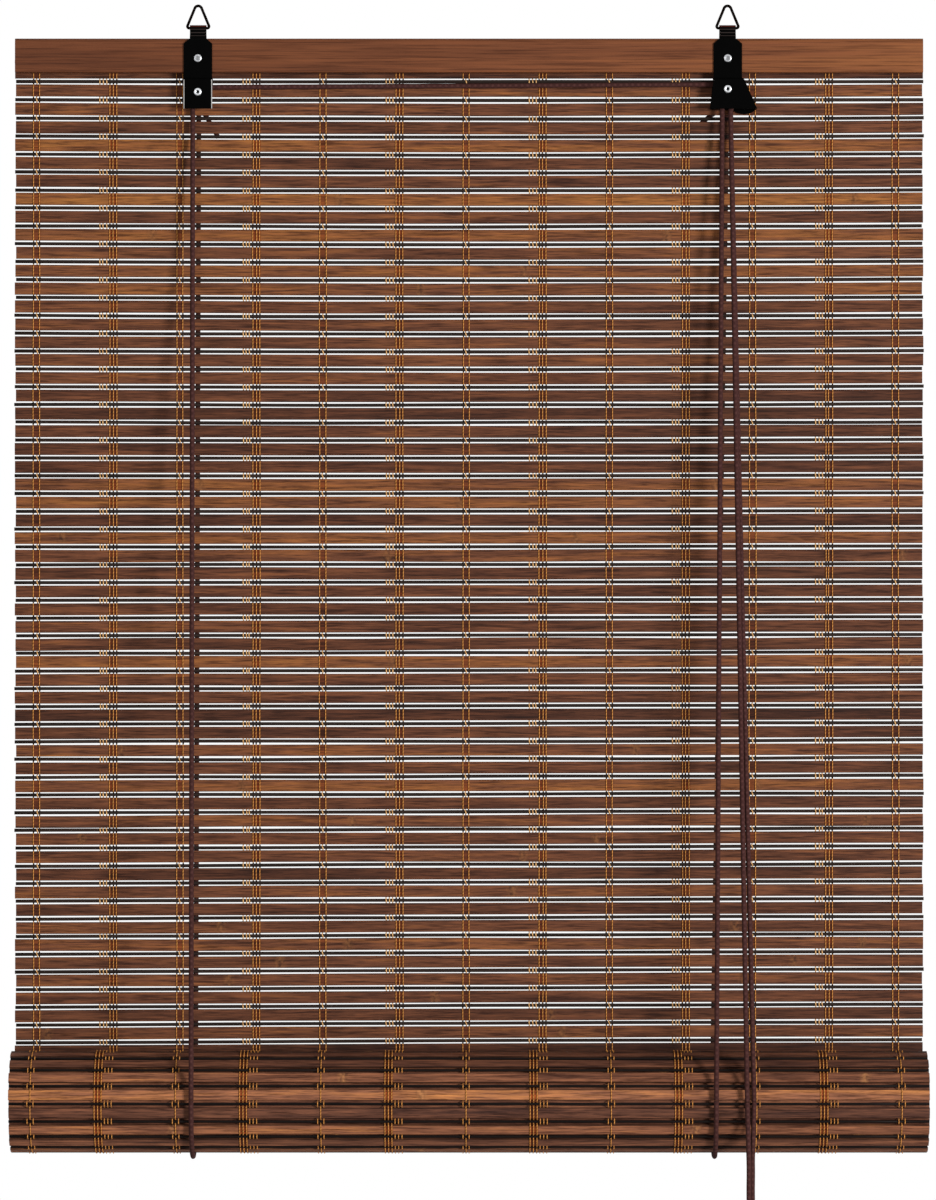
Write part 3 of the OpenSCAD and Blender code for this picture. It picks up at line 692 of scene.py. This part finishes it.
def makeRivet(node, kind):
    # a profile turned about the rivet's own line along Y
    low, high = [np.array(corner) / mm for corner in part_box(node)]
    tail = np.array(rivets["tail"]) + [high[1], 0, 0]
    head = np.array(rivets[kind]) + [low[1] + rivets["headHeight"], 0, 0]
    depth, radius, shade = np.concatenate([tail, head]).T
    angle = np.arange(rivets["corners"]) * 2 * np.pi / rivets["corners"]
    points = np.empty((1, len(depth), rivets["corners"], 3))
    points[0, :, :, 0] = (low[0] + high[0]) / 2 + radius[:, None] * np.cos(angle)
    points[0, :, :, 1] = depth[:, None]
    points[0, :, :, 2] = (low[2] + high[2]) / 2 - radius[:, None] * np.sin(angle)
    piece = tubesToMesh(node.replace("_", "") + "Turned", points)
    layer = piece.data.attributes.new("shade", "FLOAT", "POINT")
    layer.data.foreach_set("value", np.repeat(shade, rivets["corners"]).astype(np.float32))
    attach(piece, "head")
    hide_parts(node)
    return piece


rivetPieces = [makeRivet(f"{side}_{part}_rivet", kind) for side in ("left", "right")
               for part, kind in (("strap", "dished"), ("axle", "hollow"))]
print("straps and rivets made")


# Shared effect: long streaks, fine fibres and soft blotches that run along X
grainNoises = {"Streaks": {"Scale": 1.0, "Detail": 4.0, "Roughness": 0.62},
               "Fibres": {"Scale": 2.2, "Detail": 3.0, "Roughness": 0.7},
               "Blotches": {"Scale": 0.32, "Detail": 2.0, "Roughness": 0.5}}


def makeGrainGroup():
    group = bpy.data.node_groups.new("longGrain", "ShaderNodeTree")
    for name in ("Seed", "Along", "Across"):
        group.interface.new_socket(name, in_out="INPUT", socket_type="NodeSocketFloat")
    for name in grainNoises:
        group.interface.new_socket(name, in_out="OUTPUT", socket_type="NodeSocketFloat")
    start = group.nodes.new("NodeGroupInput")
    end = group.nodes.new("NodeGroupOutput")
    place = group.nodes.new("ShaderNodeTexCoord")
    scale = group.nodes.new("ShaderNodeCombineXYZ")
    for i, name in enumerate(("Along", "Across", "Across")):
        group.links.new(start.outputs[name], scale.inputs[i])
    stretched = addNode(group, "ShaderNodeVectorMath", operation="MULTIPLY")
    group.links.new(place.outputs["Object"], stretched.inputs[0])
    group.links.new(scale.outputs[0], stretched.inputs[1])
    shift = group.nodes.new("ShaderNodeCombineXYZ")
    for i in range(3):
        group.links.new(start.outputs["Seed"], shift.inputs[i])
    moved = addNode(group, "ShaderNodeVectorMath", operation="ADD")
    group.links.new(stretched.outputs[0], moved.inputs[0])
    group.links.new(shift.outputs[0], moved.inputs[1])
    for name, values in grainNoises.items():
        noise = addNode(group, "ShaderNodeTexNoise", values)
        group.links.new(moved.outputs[0], noise.inputs["Vector"])
        group.links.new(noise.outputs["Fac"], end.inputs[name])
    return group


grainGroup = makeGrainGroup()


def grainNode(tree, look, seed=None):
    made = tree.nodes.new("ShaderNodeGroup")
    made.node_tree = grainGroup
    made.inputs["Along"].default_value = look["along"]
    made.inputs["Across"].default_value = look["across"]
    if seed is not None:
        tree.links.new(seed, made.inputs["Seed"])
    return made.outputs


def attributeNode(tree, name):
    return addNode(tree, "ShaderNodeAttribute", attribute_name=name).outputs["Fac"]


def apartNode(tree, place):
    made = tree.nodes.new("ShaderNodeSeparateXYZ")
    tree.links.new(place, made.inputs[0])
    return made.outputs


def objectPlace(tree):
    # X, Y and Z in metres
    return apartNode(tree, tree.nodes.new("ShaderNodeTexCoord").outputs["Object"])


def tubePlace(tree):
    # u along a tube in metres and v once round it
    return apartNode(tree, addNode(tree, "ShaderNodeUVMap", uv_map="UVMap").outputs[0])


def mottle(tree, size, detail):
    # even noise in Object coordinates
    place = tree.nodes.new("ShaderNodeTexCoord")
    noise = addNode(tree, "ShaderNodeTexNoise", {"Scale": size, "Detail": detail})
    tree.links.new(place.outputs["Object"], noise.inputs["Vector"])
    return noise.outputs["Fac"]


def ramped(tree, value, stops):
    made = rampNode(tree, stops)
    tree.links.new(value, made.inputs[0])
    return made.outputs[0]


def painted(places, codes):
    return [(place, paint(code)) for place, code in zip(places, codes)]


def varied(tree, noise, least, share):
    # least value plus a share of a noise
    return maths(tree, "ADD", least, maths(tree, "MULTIPLY", noise, share))


def centred(tree, value, share):
    # how far a 0 to 1 value is from its middle, times a share
    return maths(tree, "MULTIPLY", maths(tree, "SUBTRACT", value, 0.5), share)


def finishSurface(tree, surface, look, noise, relief):
    # roughness that varies with a noise, a fine relief and a weak mirror
    tree.links.new(varied(tree, noise, look["rough"], look["roughShare"]), surface.inputs["Roughness"])
    bump = addNode(tree, "ShaderNodeBump", {"Strength": look["bump"], "Distance": look["bumpDepth"]})
    tree.links.new(relief, bump.inputs["Height"])
    tree.links.new(bump.outputs["Normal"], surface.inputs["Normal"])
    surface.inputs["Specular IOR Level"].default_value = look["mirror"]


# Slat bamboo: shares are of the colour ramp, and the back face is the paler side that the roll shows
bamboo = {"places": (0.08, 0.32, 0.50, 0.68, 0.92),
          "colours": ("#2a1711", "#47291c", "#5f3926", "#784928", "#905d2e"),
          "along": 20.0, "across": 430.0, "base": 0.475, "slope": -0.1, "shadeFall": 0.22, "shadeFallZ": -0.28,
          "toneShare": 0.42, "streakShare": 0.7, "blotchShare": 0.5, "fibreShare": 0.95,
          "fibres": [(0.36, (0.36, 0.31, 0.3, 1)), (0.50, (1, 1, 1, 1)), (0.66, (1.5, 1.45, 1.35, 1))],
          "jointSpacing": 0.17, "jointWidth": 0.0045, "jointShare": 0.6, "jointTone": 0.5,
          "jointSpeckle": 420.0, "jointDetail": 3.0, "jointPlaces": (0.35, 0.65),
          "jointColours": ("#2b1810", "#8a5a35"), "edgeStart": 0.54, "edgeShade": (0.45, 0.45, 0.45, 1),
          "backFace": (1.95, 2.13, 2.28, 1), "threadShade": (0.74, 0.42, 0.22, 1),
          "pairReach": 2.5, "pairShare": 0.7, "tripleReach": 2.9,
          "rough": 0.45, "roughShare": 0.2, "bump": 0.35, "bumpDepth": 0.0002, "mirror": 0.1}


def edgeMask(tree):
    # 1 on a slat's narrow edges: v goes front, top, back and bottom, so each half turn is a face and an edge
    part = maths(tree, "FRACT", maths(tree, "MULTIPLY", tubePlace(tree)[1], 2.0))
    return maths(tree, "GREATER_THAN", part, bamboo["edgeStart"])


def jointMask(tree):
    # 1 on the cane's joints, short bands across the paler slats at an even spacing
    away = maths(tree, "SUBTRACT", objectPlace(tree)[0], attributeNode(tree, "jointX"))
    away = maths(tree, "PINGPONG", away, bamboo["jointSpacing"])
    near = maths(tree, "SUBTRACT", 1.0, maths(tree, "DIVIDE", away, bamboo["jointWidth"]), True)
    light = maths(tree, "GREATER_THAN", attributeNode(tree, "tone"), bamboo["jointTone"])
    return maths(tree, "MULTIPLY", near, light)


def threadMask(tree):
    # 1 on the slats between a column's threads: even columns are a pair, odd ones a triple set to one side
    pitch, shift = columns["pitch"] * mm, columns["tripleShift"] * mm
    onRoll = attributeNode(tree, "onRoll")
    across = maths(tree, "SUBTRACT", objectPlace(tree)[0], float(columnX[0]) * mm)
    pair = maths(tree, "LESS_THAN", maths(tree, "PINGPONG", across, pitch), bamboo["pairReach"] * mm)
    pair = maths(tree, "MULTIPLY", pair, maths(tree, "SUBTRACT", 1.0, onRoll))
    pair = maths(tree, "MULTIPLY", pair, bamboo["pairShare"])
    side = centred(tree, onRoll, 2 * shift)
    beside = maths(tree, "ADD", maths(tree, "SUBTRACT", across, pitch), side)
    triple = maths(tree, "LESS_THAN", maths(tree, "PINGPONG", beside, pitch), bamboo["tripleReach"] * mm)
    return maths(tree, "MAXIMUM", pair, triple)


def woodColour(tree, look, grain, mixed):
    # streaks and blotches move along the colour ramp, and fibres are multiplied in
    mixed = maths(tree, "ADD", mixed, centred(tree, grain["Streaks"], look["streakShare"]))
    mixed = maths(tree, "ADD", mixed, centred(tree, grain["Blotches"], look["blotchShare"]))
    colour = ramped(tree, mixed, painted(look["places"], look["colours"]))
    fibres = ramped(tree, grain["Fibres"], look["fibres"])
    return mixColour(tree, "MULTIPLY", look["fibreShare"], colour, fibres)


def makeBamboo():
    made, tree, surface = newMaterial("slatBamboo")
    grain = grainNode(tree, bamboo, attributeNode(tree, "seed"))
    x, _, z = objectPlace(tree)
    height = maths(tree, "SUBTRACT", z, bamboo["shadeFallZ"])
    # painted shading across the width: the slats darken towards the right, to even out the key light there
    mixed = varied(tree, x, bamboo["base"], bamboo["slope"])
    # painted shade: the slats darken towards the bottom, near the roll
    mixed = varied(tree, height, mixed, bamboo["shadeFall"])
    mixed = maths(tree, "ADD", mixed, centred(tree, attributeNode(tree, "tone"), bamboo["toneShare"]))
    colour = woodColour(tree, bamboo, grain, mixed)
    joint = maths(tree, "MULTIPLY", jointMask(tree), bamboo["jointShare"])
    speckle = ramped(tree, mottle(tree, bamboo["jointSpeckle"], bamboo["jointDetail"]),
                     painted(bamboo["jointPlaces"], bamboo["jointColours"]))
    colour = mixColour(tree, "MIX", joint, colour, speckle)
    colour = mixColour(tree, "MULTIPLY", attributeNode(tree, "onRoll"), colour, bamboo["backFace"])
    colour = mixColour(tree, "MULTIPLY", threadMask(tree), colour, bamboo["threadShade"])
    colour = mixColour(tree, "MULTIPLY", edgeMask(tree), colour, bamboo["edgeShade"])
    tree.links.new(colour, surface.inputs["Base Color"])
    finishSurface(tree, surface, bamboo, grain["Fibres"], maths(tree, "ADD", grain["Fibres"], joint))
    return made


# Stick stain: the roll's sticks lie deeper and get a painted shade
stain = {"places": (0.25, 0.55, 0.85), "colours": ("#191412", "#29201c", "#42332b"), "along": 9.0,
         "across": 500.0, "rollShade": (0.3, 0.3, 0.32, 1), "rough": 0.4, "roughShare": 0.2, "bump": 0.3,
         "bumpDepth": 0.0001, "mirror": 0.06}


def makeStick():
    made, tree, surface = newMaterial("stainedStick")
    grain = grainNode(tree, stain, attributeNode(tree, "seed"))
    colour = ramped(tree, grain["Streaks"], painted(stain["places"], stain["colours"]))
    # painted shade: the roll's sticks are darkened
    colour = mixColour(tree, "MULTIPLY", attributeNode(tree, "onRoll"), colour, stain["rollShade"])
    tree.links.new(colour, surface.inputs["Base Color"])
    finishSurface(tree, surface, stain, grain["Fibres"], grain["Fibres"])
    return made


rail = {"places": (0.05, 0.32, 0.50, 0.70, 0.95),
        "colours": ("#3e2115", "#5c3420", "#6e4027", "#7f4d2c", "#90592f"),
        "along": 8.0, "across": 380.0, "base": 0.46, "slope": 0.5, "streakShare": 0.42, "blotchShare": 0.42,
        "fibres": [(0.34, (0.5, 0.45, 0.42, 1)), (0.50, (1, 1, 1, 1)), (0.68, (1.25, 1.22, 1.15, 1))],
        "fibreShare": 0.9, "rough": 0.4, "roughShare": 0.2, "bump": 0.25, "bumpDepth": 0.0002, "mirror": 0.1}


def makeRail():
    made, tree, surface = newMaterial("railWood")
    grain = grainNode(tree, rail)
    # painted light: the rail grows lighter towards the right, the side the key light comes from
    mixed = varied(tree, objectPlace(tree)[0], rail["base"], rail["slope"])
    tree.links.new(woodColour(tree, rail, grain, mixed), surface.inputs["Base Color"])
    finishSurface(tree, surface, rail, grain["Fibres"], grain["Fibres"])
    return made


# Threads and cords: stripes across a strand, crossed as in a braid where they turn fast
strands = {"places": (0.15, 0.85), "braidFrom": 2, "braidShare": 0.7, "fuzz": 900.0, "fuzzDetail": 2.0,
           "fuzzShare": 0.5, "rough": 0.8, "roughShare": 0.0, "bump": 0.5, "bumpDepth": 0.0002,
           "mirror": 0.06}
warp = {"colours": ("#7a4518", "#d2924e"), "perMetre": 900.0, "turns": 2.0, "through": "#170b06"}
backWarp = {"colours": ("#8f5c2c", "#e6b87c"), "perMetre": 900.0, "turns": 2.0}
cordPaint = {"colours": ("#341d1b", "#4c2f2c"), "perMetre": 520.0, "turns": 4.0}


def twistNode(tree, perMetre, turns):
    # slanted stripes: u runs along the strand and v round it
    u, v, _ = tubePlace(tree)
    phase = varied(tree, v, maths(tree, "MULTIPLY", u, perMetre), turns)
    return maths(tree, "PINGPONG", phase, 1.0)


def throughMask(tree):
    # 1 where a thread passes from one face of the mat to the other: there it is painted dark, as shade behind
    # the sticks
    depth = maths(tree, "ABSOLUTE", maths(tree, "SUBTRACT", objectPlace(tree)[1], float(matMid) * mm))
    return maths(tree, "LESS_THAN", depth, threads["throughDepth"] * mm)


def makeStrand(name, look):
    made, tree, surface = newMaterial(name)
    braid = twistNode(tree, look["perMetre"], look["turns"])
    if look["turns"] > strands["braidFrom"]:
        braid = maths(tree, "MULTIPLY", braid, twistNode(tree, look["perMetre"], -look["turns"]))
    fuzz = mottle(tree, strands["fuzz"], strands["fuzzDetail"])
    mixed = varied(tree, fuzz, maths(tree, "MULTIPLY", braid, strands["braidShare"]), strands["fuzzShare"])
    colour = ramped(tree, mixed, painted(strands["places"], look["colours"]))
    # painted shade: front threads turn dark where they pass behind the sticks
    if "through" in look:
        colour = mixColour(tree, "MIX", throughMask(tree), colour, paint(look["through"]))
    tree.links.new(colour, surface.inputs["Base Color"])
    finishSurface(tree, surface, strands, fuzz, mixed)
    return made


# Strap enamel: heights and widths in metres
enamel = {"black": "#020202", "crestHighlight": "#372f2d", "eyeColour": "#4a211a", "bareGlintColour": "#b9b6b3",
          "bareGlintHalf": 0.0089, "bareGlintDepth": 0.0008, "bareGlintBelow": -0.0482, "bareGlintLeast": 0.35,
          "eyeAbove": -0.0131, "eyeShare": 0.8, "neckTop": -0.0142, "neckBottom": -0.0206,
          "ridgeFrom": 0.0147, "ridgeHalf": 0.00105, "crestWidth": 0.0004, "spots": 160.0, "spotDetail": 4.0,
          "rough": 0.28, "roughShare": 0.2, "bump": 0.08, "bumpDepth": 0.0002, "mirror": 0.015}


def bareGlintMask(tree, x, y, z, noise):
    # the left strap's front corners below the step are painted pale: bare sheet edges, with a painted
    # highlight along them
    away = maths(tree, "ABSOLUTE", maths(tree, "SUBTRACT", x, axleX[0] * mm))
    rim = maths(tree, "GREATER_THAN", away, enamel["bareGlintHalf"])
    rim = maths(tree, "MULTIPLY", rim, maths(tree, "LESS_THAN", x, 0.0))
    front = maths(tree, "LESS_THAN", y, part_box("left_strap")[0].y + enamel["bareGlintDepth"])
    below = maths(tree, "LESS_THAN", z, enamel["bareGlintBelow"])
    patchy = maths(tree, "ADD", enamel["bareGlintLeast"], noise, True)
    return maths(tree, "MULTIPLY", maths(tree, "MULTIPLY", rim, front), maths(tree, "MULTIPLY", below, patchy))


def ridgeHighlightMask(tree, z):
    # painted highlights on the neck: light lines where the crests of its low pressed ridges catch the light
    wave = maths(tree, "PINGPONG", maths(tree, "ADD", z, enamel["ridgeFrom"]), enamel["ridgeHalf"])
    crest = maths(tree, "SUBTRACT", 1.0, maths(tree, "DIVIDE", wave, enamel["crestWidth"]), True)
    neck = maths(tree, "MULTIPLY", maths(tree, "GREATER_THAN", z, enamel["neckBottom"]),
                 maths(tree, "LESS_THAN", z, enamel["neckTop"]))
    return maths(tree, "MULTIPLY", neck, crest)


def makeBlackSheet():
    made, tree, surface = newMaterial("blackEnamel")
    noise = mottle(tree, enamel["spots"], enamel["spotDetail"])
    x, y, z = objectPlace(tree)
    eye = maths(tree, "MULTIPLY", maths(tree, "GREATER_THAN", z, enamel["eyeAbove"]), enamel["eyeShare"])
    # painted highlight lines on the neck's ridges
    colour = mixColour(tree, "MIX", ridgeHighlightMask(tree, z), paint(enamel["black"]), paint(enamel["crestHighlight"]))
    colour = mixColour(tree, "MIX", eye, colour, paint(enamel["eyeColour"]))
    # pale bare edges with a painted highlight on the left strap
    colour = mixColour(tree, "MIX", bareGlintMask(tree, x, y, z, noise), colour, paint(enamel["bareGlintColour"]))
    tree.links.new(colour, surface.inputs["Base Color"])
    finishSurface(tree, surface, enamel, noise, noise)
    return made


# Metals: the shade attribute darkens the hollows of the rivets
metal = {"places": (0.3, 0.7), "spots": 900.0, "spotDetail": 3.0, "shadeShare": 0.85,
         "shadeColour": "#141416", "roughShare": 0.15, "bump": 0.1, "bumpDepth": 0.0001, "mirror": 0.5}
steel = {"colours": ("#b9bcc0", "#e6e8ea"), "rough": 0.22}
brass = {"colours": ("#a88347", "#d2b06c"), "rough": 0.25}
wire = {"places": (0.35, 0.75), "colours": ("#080606", "#1a1310"), "spots": 500.0, "spotDetail": 3.0,
        "rough": 0.3, "roughShare": 0.2, "mirror": 0.0}


def makeMetal(name, look):
    made, tree, surface = newMaterial(name)
    noise = mottle(tree, metal["spots"], metal["spotDetail"])
    dark = maths(tree, "MULTIPLY", attributeNode(tree, "shade"), metal["shadeShare"])
    colour = ramped(tree, noise, painted(metal["places"], look["colours"]))
    colour = mixColour(tree, "MIX", dark, colour, paint(metal["shadeColour"]))
    tree.links.new(colour, surface.inputs["Base Color"])
    surface.inputs["Metallic"].default_value = 1.0
    finishSurface(tree, surface, {**metal, **look}, noise, noise)
    return made


def makeWire():
    made, tree, surface = newMaterial("blackWire")
    noise = mottle(tree, wire["spots"], wire["spotDetail"])
    colour = ramped(tree, noise, painted(wire["places"], wire["colours"]))
    tree.links.new(colour, surface.inputs["Base Color"])
    tree.links.new(varied(tree, noise, wire["rough"], wire["roughShare"]), surface.inputs["Roughness"])
    surface.inputs["Specular IOR Level"].default_value = wire["mirror"]
    return made


def cover(piece, material):
    piece.data.materials.clear()
    piece.data.materials.append(material)


slatBamboo = makeBamboo()
stickStain = makeStick()
railWood = makeRail()
threadOchre = makeStrand("warpThread", warp)
threadPale = makeStrand("backThread", backWarp)
cordPlum = makeStrand("liftCord", cordPaint)
blackEnamel = makeBlackSheet()
brightSteel = makeMetal("brightSteel", steel)
turnedBrass = makeMetal("turnedBrass", brass)
blackWire = makeWire()

pieceLooks = [(slatBamboo, (hangingSlats, rollSlats)), (stickStain, (hangingSticks, rollSticks)),
              (threadOchre, (frontThreads, rollThreads)), (threadPale, (backThreads,)),
              (cordPlum, cordPieces), (blackEnamel, strapPieces), (brightSteel, rivetPieces)]
for material, pieces in pieceLooks:
    for piece in pieces:
        cover(piece, material)
slotLook = {"rail_wood": railWood, "mat_bamboo": slatBamboo, "warp_thread": threadOchre,
            "black_sheet": blackWire, "steel": brightSteel, "brass": turnedBrass, "cord": cordPlum}
for part in frame["record"]["subparts"]:
    cover(frame["nodes"][part["node"]], slotLook[part["material_slot"]])
print("materials laid on")

# Floor, light and background, in metres and watts
studio = {"floorZ": -0.98, "floorHalf": 1.6, "floorColour": (0.9, 0.9, 0.9, 1), "floorRough": 0.7,
          "world": 0.33, "aim": (0, 0, -0.4)}
keyLight = {"place": (3.6, -4.3, -0.2), "size": (1.2, 1.2), "power": 335}
fillLight = {"place": (-1.6, -2.6, 0.1), "size": (1.8, 1.8), "power": 11}


def makeWorld():
    # white where it is seen directly, in a mirror or through something, and dimmer as a light
    world = bpy.data.worlds.new("studio")
    bpy.context.scene.world = world
    world.use_nodes = True
    tree = world.node_tree
    tree.nodes.clear()
    path = tree.nodes.new("ShaderNodeLightPath").outputs
    seen = maths(tree, "MAXIMUM", path["Is Glossy Ray"], path["Is Transmission Ray"])
    seen = maths(tree, "MAXIMUM", path["Is Camera Ray"], seen)
    back = addNode(tree, "ShaderNodeBackground", {"Color": (1, 1, 1, 1)})
    tree.links.new(varied(tree, seen, studio["world"], 1 - studio["world"]), back.inputs["Strength"])
    end = tree.nodes.new("ShaderNodeOutputWorld")
    tree.links.new(back.outputs[0], end.inputs[0])


def makeFloor():
    half, z = studio["floorHalf"], studio["floorZ"]
    mesh = bpy.data.meshes.new("floor")
    corners = [(-half, -half, z), (half, -half, z), (half, half, z), (-half, half, z)]
    mesh.from_pydata(corners, [], [(0, 1, 2, 3)])
    floor = addObject("floor", mesh)
    made, _, surface = newMaterial("paleFloor")
    surface.inputs["Base Color"].default_value = studio["floorColour"]
    surface.inputs["Roughness"].default_value = studio["floorRough"]
    floor.data.materials.append(made)


def makeLight(name, look):
    lamp = bpy.data.lights.new(name, "AREA")
    lamp.shape = "RECTANGLE"
    lamp.size, lamp.size_y = look["size"]
    lamp.energy = look["power"]
    made = addObject(name, lamp)
    made.location = look["place"]
    way = np.array(studio["aim"]) - np.array(look["place"])
    flat = np.hypot(way[0], way[1])
    made.rotation_euler = (np.arctan2(flat, -way[2]), 0, np.arctan2(way[1], way[0]) - np.pi / 2)


makeWorld()
makeFloor()
makeLight("keyLight", keyLight)
makeLight("fillLight", fillLight)
bpy.context.scene.view_settings.view_transform = "Standard"
print("scene ready")
